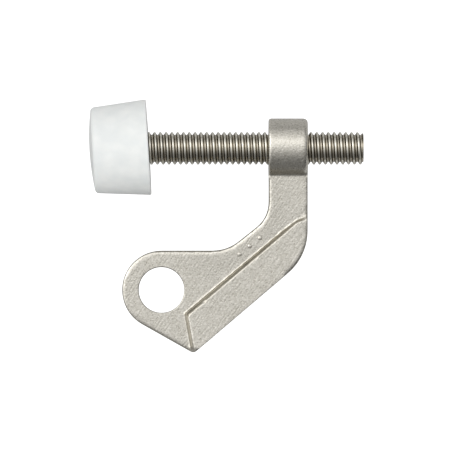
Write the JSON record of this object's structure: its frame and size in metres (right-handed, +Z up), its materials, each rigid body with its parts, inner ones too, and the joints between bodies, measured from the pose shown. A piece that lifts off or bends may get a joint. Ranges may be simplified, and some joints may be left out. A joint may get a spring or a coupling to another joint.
{
  "type": "hinge pin door stop",
  "caption": "Door stop that hangs on a hinge pin: cast bracket with a ring and a threaded boss, adjusting screw and a soft bumper.",
  "frame": {"origin": "on the hinge pin's axis, at the underside of the hinge plate", "axes": "+Z up along the hinge pin; +X along the adjusting screw, from the bumper to its free end; +Y from the pin towards the screw"},
  "size_m": [0.0669, 0.0617, 0.0234],
  "materials": {
    "bracket_metal": "satin nickel plate on a die-cast body",
    "screw_metal": "nickel plate on rolled steel",
    "bumper_vinyl": "white soft vinyl, matt"
  },
  "bodies": {
    "bracket": {"hinge_bracket": "bracket_metal"},
    "bumper": {"bumper": "bumper_vinyl"},
    "screw": {"adjusting_screw": "screw_metal"}
  },
  "joints": [
    {"name": "bumper_travel", "type": "slide", "parent": "bracket", "child": "bumper", "axis": [1, 0, 0], "range_m": [-0.0136, 0.0282]},
    {"name": "screw_turn", "type": "hinge", "parent": "bumper", "child": "screw", "pos_m": [0, 0.0345, 0.0034], "axis": [1, 0, 0], "range_deg": [-3470, 7195]}
  ],
  "couplings": [
    {"joint": "screw_turn", "follows": "bumper_travel", "rad_per_m": 4452.7}
  ]
}
